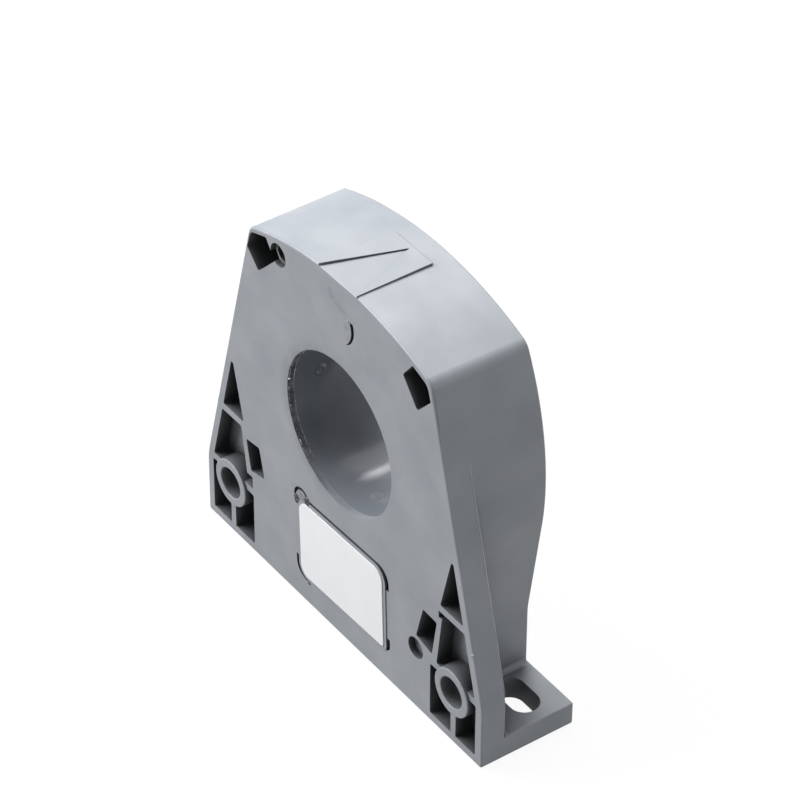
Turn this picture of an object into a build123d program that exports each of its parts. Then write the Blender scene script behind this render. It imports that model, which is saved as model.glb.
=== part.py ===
"""Window-type current transformer in a moulded housing with a flange and a foot.

Millimetres. +X runs along the foot, +Z is up, and the labelled face looks along -Y.
The origin is the middle of the foot's flat base.

The housing is one moulding: a flange with open pockets, a domed body behind it, a foot with two
slots, and a thin front wall with the window's mouth. A rear cover with the bore tube closes the
body from behind. A wound ring core lies round the tube, its two leads run down to two threaded
studs in the cover, and cast resin fills the space around them.
"""

import os
from math import cos, radians, sin, sqrt

from build123d import *

# Outline of the flange, seen from the labelled face
base_width = 82.0
arch_top = 76.9
arch_radius = 70.0
shoulder_half = 25.8  # half the width where the arch meets the sloping sides
side_foot_z = 13.0  # the sides stand upright below this height and lean in above it
shoulder_round = 2.8
side_bend_round = 14.0
base_corner_round = 0.5

# Depths, counted from the labelled face
body_depth = 19.3
flange_depth = 4.9
front_wall = 2.0
cover_wall = 2.0

# Body behind the flange; its sides draw outwards from the labelled face to the far face
waist_half = 28.0  # half the width of the body just above the foot
waist_z = 16.5
waist_round = 14.0
knee_z = 38.5  # the sides run straight from the waist to the knee and curve in above it
knee_round = 30.0
bulge_z = 55.6
near_knee_half, near_bulge_half = 30.3, 29.35
far_knee_half, far_bulge_half = 31.4, 30.95
flange_shy = 0.03  # the flange's arch lies this far inside the body's

# Foot
foot_height = 4.6
slot_x = 33.9
slot_depth = 12.7
slot_width = 5.5
slot_length = 9.3
foot_corner_round = 0.5
foot_cove = 1.0  # hollow round where the foot meets the flange and the body

# Bore and cavity
bore_radius = 15.1
bore_z = 44.5
tube_wall = 1.6
tube_setback = 1.2  # the tube's end lies this far below the labelled face
cavity_radius = 28.6
bay_half = 19.4
bay_floor = 2.2
cover_ledge = 1.0  # step in the housing that the cover lies on
mark_radius = 1.4  # two moulding marks inside the bore
mark_pip_radius = 0.6
mark_sink = 0.25
mark_depth = 6.6
mark_angles = (176.0, -82.0)

# Pockets of the flange
side_wall = 1.8
floor_wall = 1.8
rib = 1.4
pocket_round = 0.4
thin_pocket_depth = 3.6
mid_pocket_depth = 2.9
square_pocket_depth = 9.0
shoulder_pocket_depth = 10.0
low_pocket_inner = 26.4
low_pocket_top = 12.9
mid_pocket_top = 26.4
mid_pocket_inner_top = {"left": 29.8, "right": 29.7}
mid_pocket_inner_low = {"left": 27.9, "right": 28.15}
mid_pocket_notch = ((28.6, 25.0), (30.2, 26.4))  # opposite corners; only on the right
triangle_top = 40.3
triangle_inner = 29.0
left_step_x = 26.6  # the left middle pocket widens to here below its square pocket
left_step_z = 16.9
square_pockets = {
    "left": ((28.3, 24.6), (24.3, 25.1), (22.8, 19.1), (27.0, 18.2)),
    "right": ((28.1, 23.2), (24.2, 23.4), (22.3, 16.3), (26.8, 15.3)),
}
shoulder_top_wall = 1.0
shoulder_side_wall = {"left": 0.45, "right": 0.9}
shoulder_pocket_inner = (18.2, 2.6)  # each corner: from the middle, and below the shoulder's height
shoulder_pocket_low = {"left": (23.2, 7.7), "right": (22.2, 7.5)}
shoulder_pocket_top_x = 20.8
shoulder_pocket_side_drop = {"left": 4.5, "right": 3.5}
shoulder_pocket_round = 1.9  # of the corner that follows the flange's own shoulder

# Screw tubes in the flange's lower corners, and the small hole by the left shoulder
screw_tube_x = 33.0
screw_tube_z = 11.5
screw_tube_bore = 3.0
screw_tube_radius = 4.65
screw_tube_proud = 0.55  # the tubes' ends stand out from the labelled face
screw_tube_round = 0.2
pilot_x = -17.2
pilot_z = 71.2
pilot_radius = 1.5
pilot_mouth_radius = 2.2
pilot_mouth_depth = 1.0
pilot_depth = 9.0

# Direction arrow on the arch: a low flat pad with a sunk, rising triangle in it
arrow_half = 5.4
arrow_length = 14.2
arrow_pad_length = 15.0
pad_rise_front = 0.03  # of the flat pad over the arch's crown, at the labelled face
pad_rise_back = 0.21
ramp_drop_front = 0.42  # of the triangle's floor under the crown, at the labelled face
ramp_drop_back = 0.04

# Rating label and the low pad under it
label_x = 0.65
label_z = 14.6
label_width = 24.5
label_height = 16.2
label_round = 2.2
label_sharp_round = 0.5  # of its lower right corner
label_thickness = 0.15
label_turn = 1.8
pad_margin = 0.8
pad_round = 3.0
pad_sharp_round = 1.2
pad_proud = 0.15
groove_sink = 0.7  # of the crescent grooves outside three of the pad's corners
groove_shift = 0.85
groove_lift = 0.45
upper_groove_z = 20.0
lower_groove_z = 9.3
left_groove_x = -9.2

# Moulding marks in the front wall
crescent_x = 0.35
crescent_z = 68.7
crescent_radius = 4.2
crescent_shift = (0.8, 0.5)  # it tapers from its cut top to a point below
crescent_top = 70.3
crescent_sink = 0.6
gate_x = -11.3
gate_z = 22.7
gate_radius = 2.3
gate_groove = 0.6
gate_sink = 0.5
half_moon_x = 22.2
half_moon_z = 13.3
half_moon_radius = 2.1
half_moon_sink = 1.2

# Wound ring, from the bore tube outwards
winding_gap = 0.5  # resin between the wound ring and the tube or the cavity's side
front_gap = 0.7
cover_gap = 0.8
tape_wall = 0.3
winding_wall = 1.3
cap_wall = 0.8
winding_round = 1.2

# Secondary terminals on the cover
terminal_half_spacing = 7.0
terminal_z = 9.5
platform_half = 14.0
platform_low = 4.6
platform_high = 15.2
platform_rise = 2.0
barrier_half = 0.8
barrier_rise = 6.0
stud_radius = 2.0
stud_free = 5.0  # bare thread beyond the nut
stud_tip_chamfer = 0.4
stud_head_radius = 3.4
stud_head_height = 2.2
flat_washer_radius = 4.5
flat_washer_height = 0.8
spring_washer_radius = 3.6
spring_washer_height = 1.0
spring_washer_gap = 0.9
nut_across_flats = 7.0
nut_height = 3.2
nut_chamfer = 0.5
stud_hole_play = 0.05  # between the thread and the washers and nut
lead_radius = 0.6
lead_sleeve_wall = 0.35
lead_depth = 9.0
lead_bend = 2.2
lead_end_bare = 1.6  # bare copper between the sleeve's end and the stud's head
lead_into_winding = 0.7

# Rounds on outside edges
face_edge_round = 0.35
flange_back_round = 0.3
far_bevel = 0.4
foot_edge_round = 0.35

half_width = base_width / 2
face_y = -body_depth / 2
far_y = body_depth / 2
cover_depth = body_depth - cover_wall
tube_radius = bore_radius + tube_wall
everywhere = 2 * base_width


def arch_z(x):
    """Height of the arch over the point x."""
    return arch_top - arch_radius + sqrt(arch_radius**2 - x**2)


def side_x(z):
    """Half the flange's width at the height z, on its leaning side."""
    lean = (half_width - shoulder_half) / (arch_z(shoulder_half) - side_foot_z)
    return half_width - max(z - side_foot_z, 0) * lean


def depth_plane(depth):
    return Plane(origin=(0, face_y + depth, 0), x_dir=(1, 0, 0), z_dir=(0, -1, 0))


def slab(outline, near, far):
    """An outline drawn in X and Z, made solid between two depths counted from the labelled face."""
    return extrude(depth_plane(far) * outline, amount=far - near)


def disc(radius, x=0.0, z=bore_z):
    return Pos(x, z) * Circle(radius)


def ring(outer, inner, near, far, x=0.0, z=bore_z):
    """A round wall about an axis along Y."""
    return slab(disc(outer, x, z), near, far) - slab(disc(inner, x, z), near, far)


def rounded(points, radius):
    """A closed polygon with all its corners rounded."""
    outline = make_face(Polyline(*points, close=True))
    return fillet(outline.vertices(), radius)


def box_outline(low, high):
    """A rectangle between two opposite corners."""
    centre = Pos((low[0] + high[0]) / 2, (low[1] + high[1]) / 2)
    return centre * Rectangle(high[0] - low[0], high[1] - low[1])


def corners_at(outline, z):
    return [v for v in outline.vertices() if abs(v.Y - z) < 1e-6]


def near_face_edges(solid):
    return solid.faces().sort_by(Axis.Y)[0].edges()


def far_face_edges(solid):
    return solid.faces().sort_by(Axis.Y)[-1].edges()


def flange_outline():
    x, z = shoulder_half - flange_shy, arch_z(shoulder_half) - flange_shy
    bend = (half_width, side_foot_z)
    line = Polyline((-half_width, side_foot_z), (-half_width, 0), (half_width, 0), bend, (x, z))
    line += ThreePointArc((x, z), (0, arch_top - flange_shy), (-x, z))
    line += Line((-x, z), (-half_width, side_foot_z))
    outline = make_face(line)
    outline = fillet(corners_at(outline, 0), base_corner_round)
    outline = fillet(corners_at(outline, side_foot_z), side_bend_round)
    return fillet(corners_at(outline, z), shoulder_round)


def body_outline(knee_half, bulge_half, inset=0.0):
    """The body's outline; an inset draws its sides and top inwards, but not its flat base."""
    waist, knee, bulge = waist_half - inset, knee_half - inset, bulge_half - inset
    x, z = shoulder_half - inset, arch_z(shoulder_half) - inset
    low = [(-waist, waist_z), (-waist, 0), (waist, 0), (waist, waist_z)]
    line = Polyline((-knee, knee_z), *low, (knee, knee_z))
    line += ThreePointArc((knee, knee_z), (bulge, bulge_z), (x, z))
    line += ThreePointArc((x, z), (0, arch_top - inset), (-x, z))
    line += ThreePointArc((-x, z), (-bulge, bulge_z), (-knee, knee_z))
    outline = make_face(line)
    outline = fillet(corners_at(outline, waist_z), waist_round)
    outline = fillet(corners_at(outline, knee_z), knee_round)
    return fillet(corners_at(outline, z), shoulder_round)


def body():
    """The domed part: its outlines joined by straight lines, with a bevelled far edge."""
    near = body_outline(near_knee_half, near_bulge_half)
    far = body_outline(far_knee_half, far_bulge_half)
    edge = body_outline(far_knee_half, far_bulge_half, far_bevel)
    sections = [
        depth_plane(face_edge_round) * near,
        depth_plane(body_depth - far_bevel) * far,
        depth_plane(body_depth) * edge,
    ]
    return loft(sections, ruled=True)


def cavity_outline(step=0.0):
    """The cavity's round with the bay under it, widened by a step."""
    floor = bay_floor - step
    bay = Pos(0, (floor + bore_z) / 2) * Rectangle(2 * (bay_half + step), bore_z - floor)
    return disc(cavity_radius + step) + bay


def foot():
    """The shelf behind the flange, with a slot on each side of the body."""
    section = Pos(0, foot_height / 2) * Rectangle(base_width, foot_height)
    section = fillet(corners_at(section, 0), base_corner_round)
    shelf = slab(section, flange_depth / 2, body_depth)
    upright = shelf.edges().filter_by(Axis.Z).filter_by(lambda e: e.center().Y > far_y - 0.1)
    shelf = fillet(upright, foot_corner_round)
    top = shelf.faces().sort_by(Axis.Z)[-1]
    rim = top.edges().filter_by(lambda e: e.center().Y > face_y + flange_depth)
    shelf = fillet(rim, foot_edge_round)
    for side in (-1, 1):
        centre = Pos(side * slot_x, face_y + slot_depth)
        shelf -= extrude(centre * SlotOverall(slot_length, slot_width), amount=foot_height)
    return shelf


def foot_coves():
    """Hollow rounds between the foot's top and the upright walls that rise from it."""
    r = foot_cove
    section = Pos(r / 2, r / 2) * Rectangle(r, r) - Pos(r, r) * Circle(r)
    coves = []
    for side in (-1, 1):
        wall = section if side > 0 else mirror(section, Plane.YZ)
        wall = Pos(side * waist_half, foot_height) * wall
        coves.append(slab(wall, flange_depth, body_depth - far_bevel))
        start = (side * waist_half, face_y + flange_depth, foot_height)
        plane = Plane(origin=start, x_dir=(0, 1, 0), z_dir=(1, 0, 0))
        coves.append(extrude(plane * section, amount=side * (half_width - waist_half)))
    return coves


def shoulder_pocket(side):
    """The pocket inside the flange's top corner: it follows the arch and the side by one wall."""
    shoulder_z = arch_z(shoulder_half)
    low_z = shoulder_z - shoulder_pocket_side_drop[side]
    wall = shoulder_side_wall[side]
    top_x = shoulder_pocket_top_x
    corner_x = shoulder_half - wall
    corner = (corner_x, arch_z(corner_x) - shoulder_top_wall)
    inner_x, inner_drop = shoulder_pocket_inner
    low_x, low_drop = shoulder_pocket_low[side]
    points = [
        (inner_x, shoulder_z - inner_drop),
        (low_x, shoulder_z - low_drop),
        (side_x(low_z) - wall, low_z),
        corner,
        (top_x, arch_z(top_x) - shoulder_top_wall),
    ]
    outline = make_face(Polyline(*points, close=True))
    outline = fillet(corners_at(outline, corner[1]), shoulder_pocket_round)
    sharp = [v for v in outline.vertices() if any(abs(v.X - x) + abs(v.Y - z) < 1e-6 for x, z in points)]
    return fillet(sharp, pocket_round)


def side_pockets(side):
    """The ribbed corner of the flange on one side, drawn on the right and mirrored for the left."""
    outer_low = half_width - side_wall
    mid_low = low_pocket_top + rib
    triangle = [
        (side_x(triangle_top) - side_wall, triangle_top),
        (side_x(mid_pocket_top + rib) - side_wall, mid_pocket_top + rib),
        (triangle_inner, mid_pocket_top + rib),
    ]
    middle = [
        (mid_pocket_inner_top[side], mid_pocket_top),
        (side_x(mid_pocket_top) - side_wall, mid_pocket_top),
        (side_x(mid_low) - side_wall, mid_low),
        (mid_pocket_inner_low[side], mid_low),
    ]
    low = [
        (low_pocket_inner, floor_wall),
        (outer_low, floor_wall),
        (outer_low, low_pocket_top),
        (low_pocket_inner, low_pocket_top),
    ]
    tube = disc(screw_tube_radius, screw_tube_x, screw_tube_z)
    post_height = screw_tube_z - floor_wall
    post = Pos(screw_tube_x, floor_wall + post_height / 2) * Rectangle(rib, post_height)
    middle_face = rounded(middle, pocket_round)
    if side == "left":
        step = Pos((left_step_x + screw_tube_x) / 2, (left_step_z + mid_low) / 2)
        middle_face += step * Rectangle(screw_tube_x - left_step_x, left_step_z - mid_low)
    else:
        middle_face += box_outline(*mid_pocket_notch)
    cuts = [
        (rounded(triangle, pocket_round), thin_pocket_depth),
        (middle_face - tube, mid_pocket_depth),
        (rounded(low, pocket_round) - tube - post, thin_pocket_depth),
        (rounded(square_pockets[side], pocket_round), square_pocket_depth),
        (disc(screw_tube_bore, screw_tube_x, screw_tube_z), flange_depth),
        (shoulder_pocket(side), shoulder_pocket_depth),
    ]
    pockets = [slab(face, 0, depth) for face, depth in cuts]
    if side == "left":
        pockets = [mirror(pocket, Plane.YZ) for pocket in pockets]
    return pockets


def screw_tube_end(side):
    """The end of a screw tube that stands out from the labelled face, with its lip rounded."""
    tube = ring(screw_tube_radius, screw_tube_bore, -screw_tube_proud, 0, side * screw_tube_x, screw_tube_z)
    return fillet(near_face_edges(tube), screw_tube_round)


def sloped_block(length, plan_points, low_front, high_front, low_back, high_back):
    """A block over a polygon in plan, whose bottom and top rise at a steady slope along Y."""
    front, back = face_y, face_y + length
    profile = Polyline(
        (front, low_front), (back, low_back), (back, high_back), (front, high_front), close=True
    )
    side_plane = Plane(origin=(-half_width, 0, 0), x_dir=(0, 1, 0), z_dir=(1, 0, 0))
    block = extrude(side_plane * make_face(profile), amount=base_width)
    plan = make_face(Polyline(*plan_points, close=True))
    return block & extrude(plan, amount=2 * arch_top)


def arrow_pad():
    back = face_y + arrow_pad_length
    plan = [(-arrow_half, face_y), (arrow_half, face_y), (arrow_half, back), (-arrow_half, back)]
    low = arch_z(arrow_half) - shoulder_top_wall
    front_z, back_z = arch_top + pad_rise_front, arch_top + pad_rise_back
    return sloped_block(arrow_pad_length, plan, low, front_z, low, back_z)


def arrow_sink():
    plan = [(-arrow_half, face_y), (arrow_half, face_y), (0, face_y + arrow_length)]
    above = arch_top + 2 * pad_rise_back
    front_z, back_z = arch_top - ramp_drop_front, arch_top - ramp_drop_back
    return sloped_block(arrow_length, plan, front_z, above, back_z, above)


def label_outline(margin, corner, last_corner, shift_x=0.0, shift_z=0.0):
    """The label's rectangle, widened by a margin; its lower right corner has a round of its own."""
    shape = Rectangle(label_width + 2 * margin, label_height + 2 * margin)
    last = shape.vertices().sort_by(lambda v: v.X - v.Y)[-1]
    shape = fillet([v for v in shape.vertices() if v != last], corner)
    last = shape.vertices().sort_by(lambda v: v.X - v.Y)[-1]
    shape = fillet(last, last_corner)
    return Pos(label_x + shift_x, label_z + shift_z) * Rot(0, 0, label_turn) * shape


def pad_outline(shift_x=0.0, shift_z=0.0):
    return label_outline(pad_margin, pad_round, pad_sharp_round, shift_x, shift_z)


def pad_grooves():
    """The crescent grooves outside three corners of the label's pad."""
    pad = pad_outline()
    right = pad_outline(groove_shift, groove_lift) - pad
    left = pad_outline(-groove_shift, -groove_lift) - pad
    upper = Pos(0, upper_groove_z + label_height) * Rectangle(everywhere, 2 * label_height)
    lower = Pos(0, lower_groove_z - label_height) * Rectangle(everywhere, 2 * label_height)
    corner = Pos(left_groove_x - half_width, lower_groove_z - label_height)
    corner *= Rectangle(base_width, 2 * label_height)
    return [right & upper, right & lower, left & corner]


def face_marks():
    """(outline, depth) of every shallow mark in the front wall."""
    back_x, back_z = crescent_shift
    crescent = disc(crescent_radius, crescent_x, crescent_z)
    crescent -= disc(crescent_radius, crescent_x - back_x, crescent_z - back_z)
    crescent &= box_outline((crescent_x, 0), (2 * crescent_radius, crescent_top))
    gate = disc(gate_radius, gate_x, gate_z) - disc(gate_radius - gate_groove, gate_x, gate_z)
    gate -= pad_outline()
    half_moon = disc(half_moon_radius, half_moon_x, half_moon_z)
    marks = [(crescent, crescent_sink), (gate, gate_sink), (half_moon, half_moon_sink)]
    return marks + [(groove, groove_sink) for groove in pad_grooves()]


def housing():
    flange = slab(flange_outline(), 0, flange_depth)
    flange = fillet(near_face_edges(flange), face_edge_round)
    flange = fillet(far_face_edges(flange), flange_back_round)
    shell = flange + body() + foot()
    for cove in foot_coves():
        shell += cove
    shell += arrow_pad()
    shell += slab(pad_outline(), -pad_proud, front_wall)
    cuts = [
        (cavity_outline(), front_wall, cover_depth),
        (cavity_outline(cover_ledge), cover_depth, body_depth),
        (disc(bore_radius), 0, front_wall),
        (disc(tube_radius), tube_setback, front_wall),
        (disc(pilot_radius, pilot_x, pilot_z), 0, pilot_depth),
        (disc(pilot_mouth_radius, pilot_x, pilot_z), 0, pilot_mouth_depth),
    ]
    cuts += [(mark, 0, sink) for mark, sink in face_marks()]
    for outline, near, far in cuts:
        shell -= slab(outline, near, far)
    for side in ("left", "right"):
        for pocket in side_pockets(side):
            shell -= pocket
    for side in (-1, 1):
        shell += screw_tube_end(side)
    return shell - arrow_sink()


def bore_marks():
    """Two shallow round sinks in the bore's wall, each with a low pip."""
    marks = []
    for angle in mark_angles:
        across, up = cos(radians(angle)), sin(radians(angle))
        centre = (bore_radius * across, face_y + mark_depth, bore_z + bore_radius * up)
        plane = Plane(origin=centre, z_dir=(across, 0, up))
        sink = extrude(plane * Circle(mark_radius), amount=mark_sink, both=True)
        pip = extrude(plane * Circle(mark_pip_radius), amount=mark_sink, both=True)
        marks.append(sink - pip)
    return marks


def rear_cover():
    """The far wall with the bore tube, and the platform and barrier of the terminals."""
    height = platform_high - platform_low
    middle = (platform_high + platform_low) / 2
    platform = Pos(0, middle) * Rectangle(2 * platform_half, height)
    platform = fillet(platform.vertices(), foot_corner_round)
    barrier = Pos(0, middle) * Rectangle(2 * barrier_half, height)
    cover = slab(cavity_outline(cover_ledge), cover_depth, body_depth)
    cover += slab(platform, cover_depth, body_depth + platform_rise)
    cover += slab(barrier, cover_depth, body_depth + barrier_rise)
    cover += slab(disc(tube_radius), tube_setback, body_depth)
    cover -= slab(disc(bore_radius), tube_setback, body_depth)
    for x in (-terminal_half_spacing, terminal_half_spacing):
        cover -= slab(disc(stud_radius, x, terminal_z), cover_depth, body_depth + platform_rise)
    for mark in bore_marks():
        cover -= mark
    return cover


def ring_layers():
    """(outer radius, inner radius, near depth, far depth) of each layer, from the tape inwards."""
    outer, inner = cavity_radius - winding_gap, tube_radius + winding_gap
    near, far = front_wall + front_gap, cover_depth - cover_gap
    layers = {}
    for name, wall in (("tape", tape_wall), ("winding", winding_wall), ("cap", cap_wall), ("core", 0)):
        layers[name] = (outer, inner, near, far)
        outer, inner, near, far = outer - wall, inner + wall, near + wall, far - wall
    return layers


def ring_solid(layer, corner=0.0):
    solid = ring(*ring_layers()[layer])
    if corner > 0:
        solid = fillet(solid.edges().filter_by(GeomType.CIRCLE), corner)
    return solid


def terminal_stack():
    """(near, far) depth of each piece on a stud, from the platform outwards."""
    stack, at = {}, body_depth + platform_rise
    for name, height in (
        ("flat_washer", flat_washer_height),
        ("spring_washer", spring_washer_height),
        ("nut", nut_height),
        ("free", stud_free),
    ):
        stack[name] = (at, at + height)
        at += height
    return stack


def terminal_stud(x):
    tip = terminal_stack()["free"][1]
    shank = slab(disc(stud_radius, x, terminal_z), cover_depth, tip)
    shank = chamfer(far_face_edges(shank), stud_tip_chamfer)
    head = slab(disc(stud_head_radius, x, terminal_z), cover_depth - stud_head_height, cover_depth)
    return shank + head


def flat_washer(x):
    near, far = terminal_stack()["flat_washer"]
    return ring(flat_washer_radius, stud_radius + stud_hole_play, near, far, x, terminal_z)


def spring_washer(x):
    near, far = terminal_stack()["spring_washer"]
    washer = ring(spring_washer_radius, stud_radius + stud_hole_play, near, far, x, terminal_z)
    split = Pos(x, terminal_z + spring_washer_radius / 2)
    split *= Rectangle(spring_washer_gap, spring_washer_radius)
    return washer - slab(split, near, far)


def hex_nut(x):
    near, far = terminal_stack()["nut"]
    corner_radius = nut_across_flats / sqrt(3)
    nut = slab(Pos(x, terminal_z) * RegularPolygon(corner_radius, 6), near, far)
    blank = slab(disc(corner_radius, x, terminal_z), near, far)
    blank = chamfer(blank.edges().filter_by(GeomType.CIRCLE), nut_chamfer)
    return (nut & blank) - slab(disc(stud_radius + stud_hole_play, x, terminal_z), near, far)


def lead_rod(x, radius):
    """From just inside the winding straight down, then back to the stud's head."""
    y = face_y + lead_depth
    reach = ring_layers()["winding"][0]
    top = bore_z - sqrt(reach**2 - x**2) + lead_into_winding
    end = (x, face_y + cover_depth - stud_head_height, terminal_z)
    path = FilletPolyline((x, y, top), (x, y, terminal_z), end, radius=lead_bend)
    section = Plane(origin=path @ 0, z_dir=path % 0) * Circle(radius)
    return sweep(section, path=path)


def lead_pieces(x, winding):
    """The copper lead, and the sleeve over all of it but the last stretch."""
    sleeve_end = cover_depth - stud_head_height - lead_end_bare
    covered = slab(Rectangle(2 * everywhere, 2 * everywhere), 0, sleeve_end)
    lead = lead_rod(x, lead_radius) - winding
    sleeve = lead_rod(x, lead_radius + lead_sleeve_wall) - lead_rod(x, lead_radius) - winding
    return lead, sleeve & covered


def build():
    tape_block = ring_solid("tape", winding_round)
    winding_block = ring_solid("winding", winding_round - tape_wall)
    cap_block = ring_solid("cap")
    core = ring_solid("core")
    middle = (front_wall + front_gap + cover_depth - cover_gap) / 2
    front_half = slab(Rectangle(2 * everywhere, 2 * everywhere), 0, middle)
    caps = cap_block - core
    pieces = {
        "housing": housing(),
        "rear_cover": rear_cover(),
        "ring_core": core,
        "core_cap_front": caps & front_half,
        "core_cap_rear": caps - front_half,
        "secondary_winding": winding_block - cap_block,
    }
    tape = tape_block - winding_block
    resin = slab(cavity_outline(), front_wall, cover_depth)
    resin -= slab(disc(tube_radius), front_wall, cover_depth)
    resin -= tape_block
    for name, x in (("s1", -terminal_half_spacing), ("s2", terminal_half_spacing)):
        stud = terminal_stud(x)
        lead, sleeve = lead_pieces(x, winding_block)
        pieces[f"terminal_stud_{name}"] = stud
        pieces[f"flat_washer_{name}"] = flat_washer(x)
        pieces[f"spring_washer_{name}"] = spring_washer(x)
        pieces[f"hex_nut_{name}"] = hex_nut(x)
        pieces[f"lead_wire_{name}"] = lead
        pieces[f"lead_sleeve_{name}"] = sleeve
        tape = tape - lead - sleeve
        resin = resin - stud - lead - sleeve
    pieces["winding_tape"] = tape
    pieces["potting_resin"] = resin
    label = label_outline(0, label_round, label_sharp_round)
    pieces["rating_label"] = slab(label, -pad_proud - label_thickness, -pad_proud)
    return pieces


os.makedirs("parts", exist_ok=True)
for node, solid in build().items():
    export_step(solid, f"parts/{node}.step")
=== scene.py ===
# %% [markdown]
# # A current transformer in grey moulded plastic
# The part is a ring-shaped transformer in a moulded housing: a domed body with a round window, a
# flange with ribbed corners and a slotted foot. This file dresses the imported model. It gives every
# piece its real finish, and it builds the fine shapes that a plain solid leaves out, such as the
# threads, the wire turns and the traces that a mould leaves behind.

# %% Load the frame
from math import cos, pi, radians, sin

import bpy
import numpy as np
from mathutils import Matrix, Vector


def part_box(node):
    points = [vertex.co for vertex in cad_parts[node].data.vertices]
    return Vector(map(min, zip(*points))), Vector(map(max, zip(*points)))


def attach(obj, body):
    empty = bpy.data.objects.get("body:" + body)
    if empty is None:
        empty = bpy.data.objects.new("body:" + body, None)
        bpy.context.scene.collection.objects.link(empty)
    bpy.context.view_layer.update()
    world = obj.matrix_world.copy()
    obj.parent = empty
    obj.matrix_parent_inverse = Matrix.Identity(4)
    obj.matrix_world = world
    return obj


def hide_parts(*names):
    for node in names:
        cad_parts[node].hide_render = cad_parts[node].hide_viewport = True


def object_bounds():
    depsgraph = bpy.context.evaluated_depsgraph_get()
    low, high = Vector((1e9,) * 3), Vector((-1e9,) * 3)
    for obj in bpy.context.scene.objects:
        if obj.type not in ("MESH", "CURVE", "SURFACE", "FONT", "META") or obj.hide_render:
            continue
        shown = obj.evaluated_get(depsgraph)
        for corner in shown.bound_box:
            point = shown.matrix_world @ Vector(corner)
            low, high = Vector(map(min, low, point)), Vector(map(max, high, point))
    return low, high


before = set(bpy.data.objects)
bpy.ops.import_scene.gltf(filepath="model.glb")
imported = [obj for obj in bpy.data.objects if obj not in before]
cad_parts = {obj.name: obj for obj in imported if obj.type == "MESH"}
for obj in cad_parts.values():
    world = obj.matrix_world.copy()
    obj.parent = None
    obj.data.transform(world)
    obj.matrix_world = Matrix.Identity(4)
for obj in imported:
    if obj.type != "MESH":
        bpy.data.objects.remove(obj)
cad_low, cad_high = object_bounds()
MM = 0.001
TAU = 2 * pi
print("nodes:", len(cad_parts), "size in mm:", [round(v / MM, 1) for v in cad_high - cad_low])

# %% [markdown]
# ## The camera
# The photograph was taken from high on the right with a long lens, so the edges stay nearly
# parallel. A long lens stands far away. The camera is put on a line from the point that it looks
# at, turned by two angles and a very small roll.

# %% Camera
AIM = Vector((-14.805, 13.411, 31.355)) * MM
DISTANCE = 710.984 * MM
AZIMUTH, ELEVATION, ROLL = 0.9497, 0.6820, 0.0040
LENS, SENSOR = 185.2, 36.0
NEAREST, FARTHEST = 0.05, 20


def photo_camera():
    """The view direction is the aim point seen along two angles; right and up are turned by the roll."""
    back = Vector((
        cos(ELEVATION) * sin(AZIMUTH),
        -cos(ELEVATION) * cos(AZIMUTH),
        sin(ELEVATION),
    ))
    level = Vector((cos(AZIMUTH), sin(AZIMUTH), 0))
    rise = back.cross(level)
    right = level * cos(ROLL) + rise * sin(ROLL)
    up = back.cross(right)
    data = bpy.data.cameras.new("photo_camera")
    data.lens, data.sensor_width, data.sensor_fit = LENS, SENSOR, "HORIZONTAL"
    data.clip_start, data.clip_end = NEAREST, FARTHEST
    camera = bpy.data.objects.new("photo_camera", data)
    bpy.context.scene.collection.objects.link(camera)
    turn = Matrix((right, up, back)).transposed().to_4x4()
    camera.matrix_world = Matrix.Translation(AIM + back * DISTANCE) @ turn
    bpy.context.scene.camera = camera
    return camera


camera = photo_camera()
print("camera at, in mm:", [round(v / MM, 1) for v in camera.location])

# %% [markdown]
# ## Colours and nodes
# Colours are written as they look on a screen, in sRGB hex. The shaders work in linear light, so
# one function turns them over. A second small function adds any node with its settings and links,
# which keeps each material readable as a list of steps.

# %% Colours and nodes


def hex_colour(code):
    """sRGB hex to linear RGBA: the dark end is a straight line, the rest a power of 2.4."""
    parts = np.array([int(code[i:i + 2], 16) for i in (1, 3, 5)]) / 255
    linear = np.where(parts <= 0.04045, parts / 12.92, ((parts + 0.055) / 1.055) ** 2.4)
    return (*(float(v) for v in linear), 1.0)


def node(tree, kind, settings=None, **inputs):
    """Adds a node; inputs are named sockets, or _0 and so on by number: a value or another's output."""
    made = tree.nodes.new(kind)
    for name, value in (settings or {}).items():
        setattr(made, name, value)
    for name, value in inputs.items():
        key = int(name[1:]) if name[0] == "_" else name.replace("_", " ")
        if isinstance(value, bpy.types.NodeSocket):
            tree.links.new(value, made.inputs[key])
        else:
            made.inputs[key].default_value = value
    return made


def new_material(name):
    """An empty material, with its tree, its output and the place of a point on the object."""
    material = bpy.data.materials.new(name)
    material.use_nodes = True
    tree = material.node_tree
    tree.nodes.clear()
    output = tree.nodes.new("ShaderNodeOutputMaterial")
    place = tree.nodes.new("ShaderNodeTexCoord").outputs["Object"]
    return material, tree, output, place


print("mid grey in linear light:", round(hex_colour("#808080")[0], 3))

# %% [markdown]
# ## Patches
# No real surface is even. Most of the unevenness here is soft patches, of a size that can be given
# in millimetres. They come from a noise whose middle range is stretched over the wanted range of
# values. The same patches, taken as a share, lay a second colour over a first.

# %% Patches
PATCH_LOW, PATCH_HIGH = 0.3, 0.7
COLOUR_MIX = {"data_type": "RGBA"}


def per_metre(size_mm):
    """A pattern's scale for features of a real size in millimetres."""
    return 1 / (size_mm * MM)


def patches(tree, place, size_mm, detail, low=0.0, high=1.0, start=PATCH_LOW, stop=PATCH_HIGH):
    """Soft patches: a noise, of which the part from start to stop is stretched from low to high."""
    cloud = node(tree, "ShaderNodeTexNoise", {}, Vector=place, Scale=per_metre(size_mm), Detail=detail)
    return node(tree, "ShaderNodeMapRange", {}, Value=cloud.outputs["Fac"], From_Min=start,
                From_Max=stop, To_Min=low, To_Max=high).outputs[0]


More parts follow.
